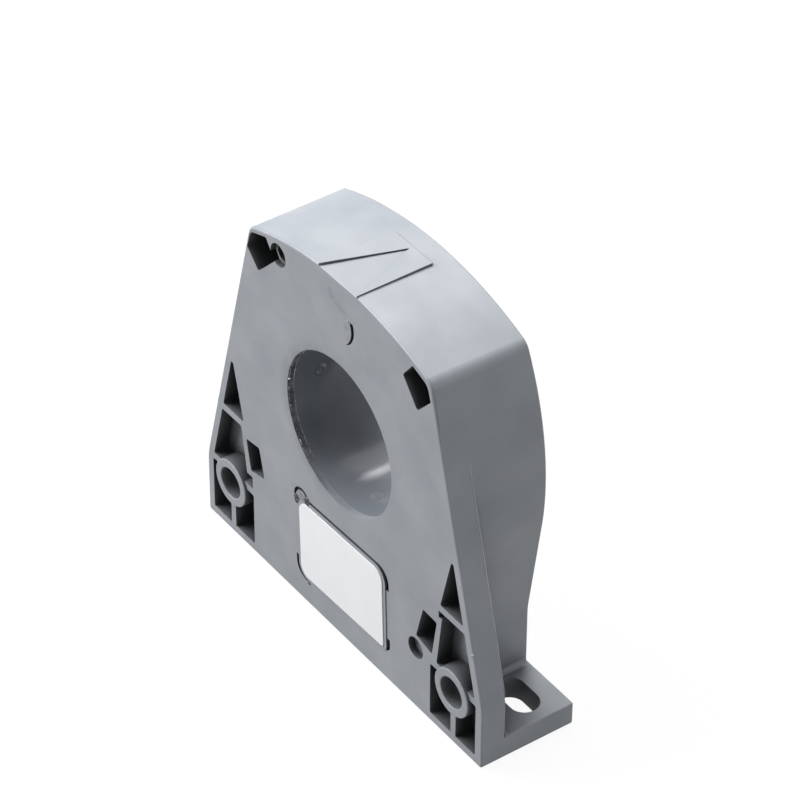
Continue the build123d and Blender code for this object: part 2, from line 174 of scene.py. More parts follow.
def patchy_colour(tree, place, size_mm, detail, first, second):
    """The second colour lies in patches over the first."""
    return node(tree, "ShaderNodeMix", COLOUR_MIX, _0=patches(tree, place, size_mm, detail),
                _6=hex_colour(first), _7=hex_colour(second)).outputs[2]


print("patches of 10 mm have the scale", round(per_metre(10)))

# %% [markdown]
# ## Painted shade and stains on the face
# The unit in the photograph is not quite clean: three oval stains are rubbed into the face. Painted
# shade darkens the wall of the window's mouth and thins out as a faint shadow on the face beside it,
# more on the left than on the right. Both are worked out from the place of a point: its distance
# from the window's axis, or its distance from the middle of a stain.

# %% Painted shade and stains
WINDOW_RADIUS_MM = 15.1
WINDOW_AXIS = (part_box("ring_core")[0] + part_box("ring_core")[1]) / 2
PAD_PROUD_MM = 0.15
FACE_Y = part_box("rating_label")[1].y + PAD_PROUD_MM * MM
WALL_REACH_MM = 0.05, 0.3
HALO_REACH_MM = 2.5
HALO_SHARE = 0.4
SHADED_LEFT_MM, LIT_RIGHT_MM = -13.5, 6
LIT_SIDE_SHARE = 0.12
STAIN_SHARE = 0.6


def window_distance(tree, place):
    """How far a point lies from the window's axis, in metres."""
    centred = node(tree, "ShaderNodeVectorMath", {"operation": "SUBTRACT"}, _0=place,
                   _1=(WINDOW_AXIS.x, 0, WINDOW_AXIS.z))
    flat = node(tree, "ShaderNodeVectorMath", {"operation": "MULTIPLY"}, _0=centred.outputs[0],
                _1=(1, 0, 1))
    away = node(tree, "ShaderNodeVectorMath", {"operation": "LENGTH"}, _0=flat.outputs[0])
    return away.outputs["Value"]


# Painted shade: darker on the window's wall and in a halo on the face, mostly on the left.
def window_painted_shade(tree, place):
    """Full painted shade on the wall or a faint painted shadow on the face, whichever is more, times a
    side share and patches.
    """
    away = window_distance(tree, place)
    wall_start, wall_end = (WINDOW_RADIUS_MM + reach for reach in WALL_REACH_MM)
    wall = node(tree, "ShaderNodeMapRange", {}, Value=away, From_Min=wall_start * MM,
                From_Max=wall_end * MM, To_Min=1.0, To_Max=0.0)
    halo = node(tree, "ShaderNodeMapRange", {}, Value=away, From_Min=WINDOW_RADIUS_MM * MM,
                From_Max=(WINDOW_RADIUS_MM + HALO_REACH_MM) * MM, To_Min=HALO_SHARE, To_Max=0.0)
    both = node(tree, "ShaderNodeMath", {"operation": "MAXIMUM"}, _0=wall.outputs[0], _1=halo.outputs[0])
    parts = node(tree, "ShaderNodeSeparateXYZ", {}, _0=place)
    side = node(tree, "ShaderNodeMapRange", {}, Value=parts.outputs["X"], From_Min=SHADED_LEFT_MM * MM,
                From_Max=LIT_RIGHT_MM * MM, To_Min=1.0, To_Max=LIT_SIDE_SHARE)
    amount = node(tree, "ShaderNodeMath", {"operation": "MULTIPLY"}, _0=both.outputs[0],
                  _1=side.outputs[0])
    return node(tree, "ShaderNodeMath", {"operation": "MULTIPLY"}, _0=amount.outputs[0],
                _1=patches(tree, place, 2.2, 4.0, low=0.35)).outputs[0]


def smudge(tree, place, x, z, turn, long, wide):
    """An oval stain: the place is moved, turned and shrunk so that the oval is a unit circle."""
    own = node(tree, "ShaderNodeMapping", {"vector_type": "TEXTURE"}, Vector=place,
               Location=(x * MM, FACE_Y, z * MM), Rotation=(0, turn, 0), Scale=(long * MM, MM, wide * MM))
    away = node(tree, "ShaderNodeVectorMath", {"operation": "LENGTH"}, _0=own.outputs[0])
    oval = node(tree, "ShaderNodeMapRange", {}, Value=away.outputs["Value"], From_Min=0.0,
                From_Max=1.0, To_Min=STAIN_SHARE, To_Max=0.0)
    return node(tree, "ShaderNodeMath", {"operation": "MULTIPLY"}, _0=oval.outputs[0],
                _1=patches(tree, place, 1.6, 5.0, start=0.35, stop=0.65)).outputs[0]


print("the face lies at y, in mm:", round(FACE_Y / MM, 2))

# %% [markdown]
# ## Grey moulded plastic
# The housing is injection moulded in a grey filled polyamide. The mould was spark eroded, so the
# skin is satin with a very fine grain, drawn a little coarser than real so that it shows. Slow flow
# leaves faint cloudy marks. Every moulded edge has a small round that catches the light, which a
# bevel node gives to the shading. Narrow pockets hold little light: an occlusion node paints that
# shade into their colour, near black, and makes them rougher. The cover was moulded against
# polished steel, and its bore is glossier than the face. Its base colour is darker than the
# housing's, which paints the shade inside the bore.

# %% Grey moulded plastic
EDGE_ROUND_MM = 0.1
POCKET_REACH_MM = 12.0
POCKET_DEEP, POCKET_OPEN = 0.34, 0.84
POCKET_ROUGHNESS = 0.8
# The pocket and window colours are painted shade; the stain colour is that of real stains.
PAINTED_POCKET_SHADE, WINDOW_SHADE_COLOUR, STAIN_COLOUR = "#0b0c0f", "#2a2c30", "#4b4f54"
FLOW_MM, GLOSS_PATCH_MM, WAVE_MM = 10, 3.5, 5.0
WAVE_HEIGHT_MM = 0.05
SMUDGES = ((-0.5, 72.3, 0.45, 4.5, 1.6), (2.6, 67.8, 1.3, 3.2, 1.3), (-11.3, 23.3, 0.4, 3.6, 2.0))


def shaded_and_stained(tree, place, tone):
    """The painted shade at the window and the stains lie over the plastic's own colour."""
    tone = node(tree, "ShaderNodeMix", COLOUR_MIX, _0=window_painted_shade(tree, place), _6=tone,
                _7=hex_colour(WINDOW_SHADE_COLOUR)).outputs[2]
    for stain in SMUDGES:
        tone = node(tree, "ShaderNodeMix", COLOUR_MIX, _0=smudge(tree, place, *stain), _6=tone,
                    _7=hex_colour(STAIN_COLOUR)).outputs[2]
    return tone


def moulded_plastic(name, base, cloud, rough, ior, grain_mm, grain_height, painted_pocket_shade, shaded_window):
    """Cloudy grey plastic: rounded edges, flow waves and grain in its shading, and painted shade in its
    pockets.
    """
    material, tree, output, place = new_material(name)
    tone = patchy_colour(tree, place, FLOW_MM, 6.0, base, cloud)
    if shaded_window:
        tone = shaded_and_stained(tree, place, tone)
    # Painted shade: where the occlusion is high, the colour turns near black and the roughness rises.
    hollow = node(tree, "ShaderNodeAmbientOcclusion", {"samples": 8, "only_local": True},
                  Distance=POCKET_REACH_MM * MM)
    depth = node(tree, "ShaderNodeMapRange", {}, Value=hollow.outputs["AO"], From_Min=POCKET_DEEP,
                 From_Max=POCKET_OPEN, To_Min=painted_pocket_shade, To_Max=0.0).outputs[0]
    tone = node(tree, "ShaderNodeMix", COLOUR_MIX, _0=depth, _6=tone, _7=hex_colour(PAINTED_POCKET_SHADE))
    satin = patches(tree, place, GLOSS_PATCH_MM, 4.0, rough - 0.04, rough + 0.04)
    satin = node(tree, "ShaderNodeMix", {}, _0=depth, _2=satin, _3=POCKET_ROUGHNESS)
    edge = node(tree, "ShaderNodeBevel", {"samples": 6}, Radius=EDGE_ROUND_MM * MM)
    wave = node(tree, "ShaderNodeTexNoise", {}, Vector=place, Scale=per_metre(WAVE_MM))
    flow = node(tree, "ShaderNodeBump", {}, Strength=0.15, Distance=WAVE_HEIGHT_MM * MM,
                Height=wave.outputs["Fac"], Normal=edge.outputs[0])
    grit = node(tree, "ShaderNodeTexNoise", {}, Vector=place, Scale=per_metre(grain_mm))
    grain = node(tree, "ShaderNodeBump", {}, Strength=0.35, Distance=grain_height * MM,
                 Height=grit.outputs["Fac"], Normal=flow.outputs[0])
    shade = node(tree, "ShaderNodeBsdfPrincipled", {}, Base_Color=tone.outputs[2],
                 Roughness=satin.outputs[0], Normal=grain.outputs[0])
    shade.inputs["IOR"].default_value = ior
    tree.links.new(shade.outputs[0], output.inputs["Surface"])
    return material


housing_grey = moulded_plastic(
    "grey_polyamide_spark_eroded", base="#858a90", cloud="#93979d", rough=0.45, ior=1.5,
    grain_mm=0.28, grain_height=0.006, painted_pocket_shade=0.97, shaded_window=True)
# The cover's base colours are darker than the housing's: painted shade for the inside of the bore.
cover_grey_shade_darkened = moulded_plastic(
    "grey_polyamide_polished_darkened", base="#70757c", cloud="#787d84", rough=0.19, ior=1.42,
    grain_mm=0.4, grain_height=0.004, painted_pocket_shade=0.8, shaded_window=False)
print("plastics:", housing_grey.name, cover_grey_shade_darkened.name)

# %% [markdown]
# ## Label film
# The rating label is white polyester film with a clear matt top coat. It carries no print here. It
# is nearly flat, but the glue under it leaves a very faint waviness that only a reflection shows.

# %% Label film
GLUE_WAVE_MM = 4.0


def label_film():
    """Two close whites in patches, an uneven matt coat and a slow waviness."""
    material, tree, output, place = new_material("white_polyester_film")
    tone = patchy_colour(tree, place, 6.0, 2.0, "#eceef0", "#e9ebee")
    wave = node(tree, "ShaderNodeTexNoise", {}, Vector=place, Scale=per_metre(GLUE_WAVE_MM), Detail=1.0)
    waves = node(tree, "ShaderNodeBump", {}, Strength=0.2, Distance=0.02 * MM, Height=wave.outputs["Fac"])
    shade = node(tree, "ShaderNodeBsdfPrincipled", {}, Base_Color=tone,
                 Roughness=patches(tree, place, 0.6, 3.0, 0.36, 0.46), Normal=waves.outputs[0])
    shade.inputs["IOR"].default_value = 1.55
    tree.links.new(shade.outputs[0], output.inputs["Surface"])
    return material


film = label_film()
print("label:", film.name)

# %% [markdown]
# ## Metals
# The studs and nuts are nickel-plated brass: a warm pale metal with fine turning marks round its
# axis. The washers are stamped steel with a bright zinc coat, which is bluer and a little blotchy.
# The ring core is wound from thin silicon steel strip, so its side shows hundreds of fine rings.
# The enamelled wire is copper under a clear amber lacquer. The marks and the rings are drawn
# coarser than real, so that they show.

# %% Metals


def metal(name, base, patch, rough, patch_mm, coat=0.0):
    """A metal with a second tone in patches; returns what a pattern of marks needs as well."""
    material, tree, output, place = new_material(name)
    dull = patches(tree, place, patch_mm / 3, 2.0, rough - 0.03, rough + 0.05)
    shade = node(tree, "ShaderNodeBsdfPrincipled", {}, Metallic=1.0, Roughness=dull,
                 Base_Color=patchy_colour(tree, place, patch_mm, 3.0, base, patch))
    shade.inputs["Coat Weight"].default_value = coat
    tree.links.new(shade.outputs[0], output.inputs["Surface"])
    return material, tree, place, shade


def turning_marks(tree, place, shade, spacing_mm, height_mm):
    """Fine grooves that run round the axis, one beside the other along Y."""
    wave = node(tree, "ShaderNodeTexWave", {"bands_direction": "Y"}, Vector=place,
                Scale=per_metre(spacing_mm) / TAU, Distortion=0.6, Detail=1.0)
    marks = node(tree, "ShaderNodeBump", {}, Strength=0.4, Distance=height_mm * MM,
                 Height=wave.outputs["Fac"])
    tree.links.new(marks.outputs[0], shade.inputs["Normal"])


def strip_rings(tree, place, shade, spacing_mm, height_mm):
    """Rings about the window's axis: a sine of the distance from it."""
    phase = node(tree, "ShaderNodeMath", {"operation": "MULTIPLY"}, _0=window_distance(tree, place),
                 _1=TAU * per_metre(spacing_mm))
    rings = node(tree, "ShaderNodeMath", {"operation": "SINE"}, _0=phase.outputs[0])
    marks = node(tree, "ShaderNodeBump", {}, Strength=0.6, Distance=height_mm * MM,
                 Height=rings.outputs[0])
    tree.links.new(marks.outputs[0], shade.inputs["Normal"])


nickel, *parts = metal("nickel_plated_brass_turned", "#d8d4ca", "#cdc8bc", rough=0.26, patch_mm=3.0)
turning_marks(*parts, spacing_mm=0.35, height_mm=0.003)
zinc, *parts = metal("bright_zinc_plated_steel", "#c3c9d0", "#b3b7ae", rough=0.3, patch_mm=1.5)
turning_marks(*parts, spacing_mm=0.3, height_mm=0.002)
strip_steel, *parts = metal("wound_silicon_steel_strip", "#9a9fa4", "#7f858b", rough=0.35, patch_mm=3.0)
strip_rings(*parts, spacing_mm=0.35, height_mm=0.02)
copper = metal("enamelled_copper_wire", "#c06a35", "#a9552a", rough=0.22, patch_mm=4.0, coat=0.7)[0]
print("metals:", nickel.name, zinc.name, strip_steel.name, copper.name)

# %% [markdown]
# ## Plastics inside
# What lies inside is seen only when the part is opened. The core's caps are natural nylon, and the
# leads run in black sleeves. The wound ring is wrapped in amber polyester tape, whose turns overlap
# in small steps with a darker line at each.

# %% Plastics inside
TAPE_TURNS = 46
TAPE_STEP_MM = 0.06
OVERLAP_COLOUR = "#8a5a16"


def inner_plastic(name, base, patch, rough, patch_mm, height_mm, coat=0.0):
    """A plastic with a second tone in patches and a fine skin, eight times finer than the patches."""
    material, tree, output, place = new_material(name)
    tone = patchy_colour(tree, place, patch_mm, 3.0, base, patch)
    bumps = node(tree, "ShaderNodeTexNoise", {}, Vector=place, Scale=per_metre(patch_mm / 8), Detail=3.0)
    skin = node(tree, "ShaderNodeBump", {}, Strength=0.4, Distance=height_mm * MM,
                Height=bumps.outputs["Fac"])
    dull = patches(tree, place, patch_mm / 3, 2.0, rough - 0.05, rough + 0.05)
    shade = node(tree, "ShaderNodeBsdfPrincipled", {}, Base_Color=tone, Roughness=dull,
                 Normal=skin.outputs[0])
    shade.inputs["Coat Weight"].default_value = coat
    tree.links.new(shade.outputs[0], output.inputs["Surface"])
    return material, tree, place, shade


def tape_overlaps(tree, place, shade, turns):
    """Steps at each turn of the tape: the angle about the window's axis, cut into equal teeth."""
    centred = node(tree, "ShaderNodeVectorMath", {"operation": "SUBTRACT"}, _0=place,
                   _1=(WINDOW_AXIS.x, 0, WINDOW_AXIS.z))
    parts = node(tree, "ShaderNodeSeparateXYZ", {}, _0=centred.outputs[0])
    angle = node(tree, "ShaderNodeMath", {"operation": "ARCTAN2"}, _0=parts.outputs["Z"],
                 _1=parts.outputs["X"])
    count = node(tree, "ShaderNodeMath", {"operation": "MULTIPLY"}, _0=angle.outputs[0], _1=turns / TAU)
    teeth = node(tree, "ShaderNodeMath", {"operation": "FRACT"}, _0=count.outputs[0])
    steps = node(tree, "ShaderNodeBump", {}, Strength=0.7, Distance=TAPE_STEP_MM * MM,
                 Height=teeth.outputs[0])
    tree.links.new(steps.outputs[0], shade.inputs["Normal"])
    near_edge = node(tree, "ShaderNodeMapRange", {}, Value=teeth.outputs[0], From_Min=0.0,
                     From_Max=0.25, To_Min=0.35, To_Max=0.0)
    lined = node(tree, "ShaderNodeMix", COLOUR_MIX, _0=near_edge.outputs[0],
                 _6=shade.inputs["Base Color"].links[0].from_socket, _7=hex_colour(OVERLAP_COLOUR))
    tree.links.new(lined.outputs[2], shade.inputs["Base Color"])


nylon = inner_plastic("natural_nylon_moulded", "#e9e3d2", "#ded6c0", rough=0.5, patch_mm=6.0,
                      height_mm=0.01)[0]
sleeving = inner_plastic("black_pvc_sleeve", "#1d1d20", "#26262a", rough=0.45, patch_mm=2.0,
                         height_mm=0.01)[0]
tape, *parts = inner_plastic("amber_polyester_tape", "#d9a43a", "#cf9730", rough=0.22, patch_mm=3.0,
                             height_mm=0.005, coat=0.5)
tape_overlaps(*parts, turns=TAPE_TURNS)
print("inside:", nylon.name, sleeving.name, tape.name)

# %% [markdown]
# ## Cast resin
# Dark epoxy resin was poured round the wound ring and fills the rest of the housing. It sets
# glossy, with a few small bubbles near its surface. Each bubble is the middle of a cell, so a
# pattern of cells gives them, with everything past a short distance from the middle left flat.

# %% Cast resin
BUBBLE_SPACING_MM = 1.6
BUBBLE_MIDDLE, BUBBLE_EDGE = 0.08, 0.16


def epoxy_resin():
    """Two near blacks in patches, with small round pits."""
    material, tree, output, place = new_material("cast_dark_epoxy")
    tone = patchy_colour(tree, place, 9.0, 3.0, "#26272a", "#313338")
    cells = node(tree, "ShaderNodeTexVoronoi", {}, Vector=place, Scale=per_metre(BUBBLE_SPACING_MM))
    bubbles = node(tree, "ShaderNodeMapRange", {}, Value=cells.outputs["Distance"],
                   From_Min=BUBBLE_MIDDLE, From_Max=BUBBLE_EDGE)
    pits = node(tree, "ShaderNodeBump", {}, Strength=0.5, Distance=0.1 * MM, Height=bubbles.outputs[0])
    shade = node(tree, "ShaderNodeBsdfPrincipled", {}, Base_Color=tone, Roughness=0.18,
                 Normal=pits.outputs[0])
    shade.inputs["IOR"].default_value = 1.55
    tree.links.new(shade.outputs[0], output.inputs["Surface"])
    return material


resin = epoxy_resin()
print("resin:", resin.name)

# %% [markdown]
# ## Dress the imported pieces
# The pieces whose shape is already right keep their mesh and only get their finish. Which finish
# goes where is read from the start of each node's name, so both sides of a pair get the same one.

# %% Assign the finishes
FINISHES = {
    "housing": housing_grey,
    "rear_cover": cover_grey_shade_darkened,
    "rating_label": film,
    "potting_resin": resin,
    "ring_core": strip_steel,
    "core_cap": nylon,
    "secondary_winding": copper,
    "winding_tape": tape,
    "lead_wire": copper,
    "lead_sleeve": sleeving,
    "terminal_stud": nickel,
    "hex_nut": nickel,
    "flat_washer": zinc,
    "spring_washer": zinc,
}
for name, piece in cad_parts.items():
    finish = next(finish for start, finish in FINISHES.items() if name.startswith(start))
    piece.data.materials.clear()
    piece.data.materials.append(finish)
print("dressed nodes:", len(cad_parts))

# %% [markdown]
# ## A mesh from a grid
# Every new piece is a surface over two parameters. Its points are worked out with numpy as one
# array of rows and columns, and this function joins each point to its neighbours. The columns
# always close on themselves. The rows close too, as on a ring, or else end in a cap. The signed
# volume tells whether the faces point inwards, and then they are turned round.

# %% Grid to mesh
SHARP_ANGLE = radians(32)


def joined_faces(points, rows, columns, closed_rows):
    """Quads between neighbours and, where the rows are open, a fan round a middle at either end."""
    index = np.arange(rows * columns).reshape(rows, columns)
    upper = index if closed_rows else index[:-1]
    lower = np.roll(index, -1, axis=0) if closed_rows else index[1:]
    quads = np.stack([upper, lower, np.roll(lower, -1, 1), np.roll(upper, -1, 1)], -1).reshape(-1, 4)
    triangles = np.concatenate([quads[:, [0, 1, 2]], quads[:, [0, 2, 3]]])
    if closed_rows:
        return points, triangles, quads.tolist()
    first, last = len(points), len(points) + 1
    middles = points[index[[0, -1]]].mean(1)
    start = np.stack([np.full(columns, first), index[0], np.roll(index[0], -1)], -1)
    end = np.stack([np.full(columns, last), np.roll(index[-1], -1), index[-1]], -1)
    fans = np.concatenate([start, end])
    points, triangles = np.concatenate([points, middles]), np.concatenate([triangles, fans])
    return points, triangles, quads.tolist() + fans.tolist()


def piece_from_grid(name, points_mm, finish, closed_rows):
    """A (rows, columns, 3) grid in mm becomes a closed piece that rides the root body."""
    rows, columns = points_mm.shape[:2]
    points, triangles, faces = joined_faces(points_mm.reshape(-1, 3) * MM, rows, columns, closed_rows)
    a, b, c = (points[triangles[:, i]] for i in range(3))
    if np.einsum("ij,ij->", a, np.cross(b, c)) < 0:
        faces = [face[::-1] for face in faces]
    mesh = bpy.data.meshes.new(name)
    mesh.from_pydata(points, [], faces)
    mesh.polygons.foreach_set("use_smooth", [True] * len(faces))
    mesh.set_sharp_from_angle(angle=SHARP_ANGLE)
    mesh.materials.append(finish)
    piece = bpy.data.objects.new(name, mesh)
    bpy.context.scene.collection.objects.link(piece)
    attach(piece, "root")
    print(name, "triangles:", len(triangles))
    return piece


def around(radius, along, angle, centre):
    """Points at a radius and an angle about an axis along Y through the centre, all in mm."""
    x = centre[0] + radius * np.cos(angle)
    z = centre[1] + radius * np.sin(angle)
    return np.stack(np.broadcast_arrays(x, along, z), -1)


def node_box(name):
    """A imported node's low and high corner in mm, and the middle of its section across Y."""
    low, high = (np.array(corner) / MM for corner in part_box(name))
    return low, high, ((low[0] + high[0]) / 2, (low[2] + high[2]) / 2)


def full_turn(steps):
    """Equal steps once round, without the last one, which is the first again."""
    return np.linspace(0, TAU, steps, endpoint=False)


# %% [markdown]
# ## Threaded studs
# Each secondary terminal is an M4 stud, moulded into the cover by its round head. A metric thread
# climbs 0.7 mm a turn with flanks at 60 degrees. The radius is one function of the angle and the
# place along the stud, so the whole thread is a single grid, and it fades out into the pointed tip.

# %% Threaded studs
HEAD_HEIGHT = 2.2
HEAD_BEVEL = 0.3
HEAD_KNURLS = 20
KNURL_DEPTH = 0.24
THREAD_RADIUS = 2.0
PITCH = 0.7
THREAD_DEPTH = 0.43
FLANK_POWER = 0.9
TIP_BEVEL = 0.55
STUD_COLUMNS = 40
ROWS_PER_PITCH = 10


def stud_grid(node_name):
    """Radius: the full thread less a triangle wave of the turn, and never past the tip's cone."""
    low, high, centre = node_box(node_name)
    head_radius = (high[0] - low[0]) / 2
    head_end = low[1] + HEAD_HEIGHT
    angle = full_turn(STUD_COLUMNS)[None, :]
    rows = int((high[1] - head_end) / PITCH * ROWS_PER_PITCH)
    along = np.linspace(head_end, high[1], rows)[:, None]
    turn = (along / PITCH - angle / TAU) % 1
    radius = THREAD_RADIUS - THREAD_DEPTH * (1 - np.abs(2 * turn - 1)) ** FLANK_POWER
    radius = np.minimum(radius, THREAD_RADIUS - TIP_BEVEL + (high[1] - along))
    knurled = head_radius - KNURL_DEPTH / 2 * (1 + np.cos(HEAD_KNURLS * angle))
    head_rows = [
        (low[1], knurled - HEAD_BEVEL),
        (low[1] + HEAD_BEVEL, knurled),
        (head_end - HEAD_BEVEL, knurled),
        (head_end, knurled - HEAD_BEVEL),
    ]
    radii = np.concatenate([r for _, r in head_rows] + [radius])
    places = np.concatenate([[y] for y, _ in head_rows] + [along[:, 0]])[:, None]
    return around(radii, places, angle, centre)


for side in ("s1", "s2"):
    stud = piece_from_grid(f"threaded_stud_{side}", stud_grid(f"terminal_stud_{side}"), nickel,
                           closed_rows=False)
    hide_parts(f"terminal_stud_{side}")

# %% [markdown]
# ## Nuts
# A hexagon nut is cut from bar, and a cone of 30 degrees takes the corners off both its ends. That
# leaves the curved edges on its six flats: the cone meets a flat lower down towards the corners. The
# section runs up the outside, over the end, down the threaded hole and back.

# %% Nuts
NUT_COLUMNS = 96
CONE_SLOPE = 0.577
END_RING_SHARE = 0.985
HOLE_BEVEL = 0.35
HOLE_RADIUS = 2.05


def nut_grid(node_name):
    """Radius of a hexagon: half the width over flats, divided by the cosine of the angle to a flat."""
    low, high, centre = node_box(node_name)
    half_flats = (high[2] - low[2]) / 2
    angle = full_turn(NUT_COLUMNS)[None, :]
    sector = TAU / 6
    hexagon = half_flats / np.cos(angle % sector - sector / 2)
    ring = half_flats * END_RING_SHARE
    curve = (hexagon - ring) * CONE_SLOPE
    section = [
        (low[1], ring),
        (low[1] + curve, hexagon),
        (high[1] - curve, hexagon),
        (high[1], ring),
        (high[1], HOLE_RADIUS + HOLE_BEVEL),
        (high[1] - HOLE_BEVEL, HOLE_RADIUS),
        (low[1] + HOLE_BEVEL, HOLE_RADIUS),
        (low[1], HOLE_RADIUS + HOLE_BEVEL),
    ]
    places = np.concatenate([np.broadcast_to(y, angle.shape) for y, _ in section])
    radii = np.concatenate([np.broadcast_to(r, angle.shape) for _, r in section])
    return around(radii, places, angle, centre)


for side in ("s1", "s2"):
    nut = piece_from_grid(f"bevelled_nut_{side}", nut_grid(f"hex_nut_{side}"), nickel,
                          closed_rows=True)
    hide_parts(f"hex_nut_{side}")

# %% [markdown]
# ## Washers
# The flat washer is stamped, and its edges are rounded where the punch pulled the sheet in. The
# spring washer is a turn of square wire, cut and set so that its ends stand apart; tightened under
# the nut it is almost flat, and the cut shows as a slanted gap.

# %% Washers
WASHER_COLUMNS = 72
PUNCH_ROUND = 0.22
WIRE_ROUND = 0.16
SPRING_SLANT = 0.45
SPRING_SET = 0.05
SPRING_GAP = 0.9


def round_section(half_wide, half_high, corner, steps=4):
    """A rectangle with round corners: each corner is a quarter turn about its own centre."""
    quarter = np.linspace(0, pi / 2, steps)
    across, up = [], []
    for turn, (sx, sy) in enumerate(((1, 1), (-1, 1), (-1, -1), (1, -1))):
        angle = quarter + turn * pi / 2
        across.append(sx * (half_wide - corner) + corner * np.cos(angle))
        up.append(sy * (half_high - corner) + corner * np.sin(angle))
    return np.concatenate(across), np.concatenate(up)


def flat_washer_grid(node_name):
    """The section is carried once round the stud's axis."""
    low, high, centre = node_box(node_name)
    outer, inner = (high[0] - low[0]) / 2, HOLE_RADIUS
    across, up = round_section((outer - inner) / 2, (high[1] - low[1]) / 2, PUNCH_ROUND)
    radii = ((outer + inner) / 2 + across)[:, None]
    places = ((high[1] + low[1]) / 2 + up)[:, None]
    return around(radii, places, full_turn(WASHER_COLUMNS)[None, :], centre)


def spring_washer_grid(node_name):
    """The section is carried from one side of the gap to the other, and climbs a little on the way."""
    low, high, centre = node_box(node_name)
    outer, inner = (high[0] - low[0]) / 2, HOLE_RADIUS
    across, up = round_section((outer - inner) / 2, (high[1] - low[1]) / 2 - SPRING_SET, WIRE_ROUND)
    half_gap = SPRING_GAP / (outer + inner)
    share = np.linspace(0, 1, WASHER_COLUMNS)[:, None]
    radii = ((outer + inner) / 2 + across)[None, :]
    angle = pi / 2 + half_gap + share * (TAU - 2 * half_gap) + SPRING_SLANT * up / radii
    places = (high[1] + low[1]) / 2 + up[None, :] + SPRING_SET * (2 * share - 1)
    return around(radii, places, angle, centre)


for side in ("s1", "s2"):
    washer = piece_from_grid(f"stamped_washer_{side}", flat_washer_grid(f"flat_washer_{side}"), zinc,
                             closed_rows=True)
    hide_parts(f"flat_washer_{side}")
    spring = piece_from_grid(f"split_washer_{side}", spring_washer_grid(f"spring_washer_{side}"), zinc,
                             closed_rows=False)
    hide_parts(f"spring_washer_{side}")

# %% [markdown]
# ## The secondary winding
# The secondary is enamelled wire wound through the ring, turn after turn. On the inside of the ring
# the turns touch, and on the outside they fan apart. One closed path goes round the section of the
# ring while it slowly travels about the window's axis, and a small circle is carried along it.

# %% Secondary winding
WIRE = 1.16
BEND_SHARE = 0.6
TURNS = 90
STEPS_PER_TURN = 32
WIRE_SIDES = 8


def inner_radius(node_name, centre):
    """The smallest distance of a node's vertices from an axis along Y, in mm."""
    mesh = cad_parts[node_name].data
    flat = np.zeros(len(mesh.vertices) * 3, np.float32)
    mesh.vertices.foreach_get("co", flat)
    across = flat.reshape(-1, 3)[:, [0, 2]] / MM - centre
    return np.hypot(*across.T).min()


def winding_path(node_name):
    """Point k lies k equal steps round the section and k equal small steps about the axis."""
    low, high, centre = node_box(node_name)
    inner, outer = inner_radius(node_name, centre), (high[0] - low[0]) / 2
    half_wide, half_high = (outer - inner - WIRE) / 2, (high[1] - low[1] - WIRE) / 2
    a, b = round_section(half_wide, half_high, WIRE * BEND_SHARE, steps=5)
    a, b = np.append(a, a[0]), np.append(b, b[0])
    length = np.append(0, np.cumsum(np.hypot(np.diff(a), np.diff(b))))
    count = TURNS * STEPS_PER_TURN
    at = (np.arange(count) / STEPS_PER_TURN) % 1 * length[-1]
    radius = (outer + inner) / 2 + np.interp(at, length, a)
    along = (high[1] + low[1]) / 2 + np.interp(at, length, b)
    axis_point = np.stack([np.full(count, centre[0]), along, np.full(count, centre[1])], -1)
    return around(radius, along, full_turn(count), centre), axis_point


def winding_grid(node_name):
    """Each point of the path gets a circle, spanned by two directions at right angles to the path."""
    path, axis_point = winding_path(node_name)
    ahead = np.roll(path, -1, 0) - np.roll(path, 1, 0)
    ahead /= np.linalg.norm(ahead, axis=1)[:, None]
    side = np.cross(ahead, path - axis_point)
    side /= np.linalg.norm(side, axis=1)[:, None]
    lift = np.cross(side, ahead)
    turn = full_turn(WIRE_SIDES)[None, :, None]
    return path[:, None] + WIRE / 2 * (np.cos(turn) * side[:, None] + np.sin(turn) * lift[:, None])


winding = piece_from_grid("wire_turns", winding_grid("secondary_winding"), copper,
                          closed_rows=True)
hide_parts("secondary_winding")

# %% [markdown]
# ## Flash at the window
# Moulding leaves small traces. Where two steel faces of a mould meet, a little plastic creeps
# between them and stays as flash. A thin, broken bead of it stands in the seam where the cover's
# tube meets the front wall, and a few crumbs cling to the rim of the window. Their light colours
# are painted glints: the bead is a lighter grey than the housing, the crumbs paler still. Both are
# largest on the left. Their thickness follows a sum of sines, raised to a power so that most of the
# bead is thin and a few places swell.

# %% Flash at the window
BEAD_COLUMNS = 10
BEAD_STEPS = 900
SEAM_DEPTH = 1.2
RIM_DEPTH = 0.25
BEDDED = 0.02


def ripple(angle, counts, seed):
    """A sum of sines with steady pseudo-random phases, scaled to the range from 0 to 1."""
    phases = np.random.default_rng(seed).uniform(0, TAU, len(counts))
    total = sum(np.sin(count * angle + phase) for count, phase in zip(counts, phases))
    return (total - total.min()) / (total.max() - total.min())


def flash_bead_grid(depth, thin, swell, power, seed):
    """A ring whose own radius follows a ripple, and is largest where the ring's cosine is -1."""
    angle = full_turn(BEAD_STEPS)
    broken = ripple(angle, (7, 13, 29, 47, 83, 131, 211), seed) ** power
    size = thin + swell * broken * np.clip(-np.cos(angle + 0.1), 0, 1) ** 2
    turn = full_turn(BEAD_COLUMNS)[None, :]
    radius = WINDOW_RADIUS_MM + BEDDED - size[:, None] * (0.4 + 0.6 * np.cos(turn))
    along = FACE_Y / MM + depth + 0.8 * size[:, None] * np.sin(turn)
    return around(radius, along, angle[:, None], (WINDOW_AXIS.x / MM, WINDOW_AXIS.z / MM))


# Painted glint: the seam bead is a lighter grey than the housing.
glint_grey_flash = inner_plastic("grey_polyamide_flash_painted_glint", "#9da2a7", "#b4b9bd", rough=0.25, patch_mm=0.8,
                          height_mm=0.03)[0]
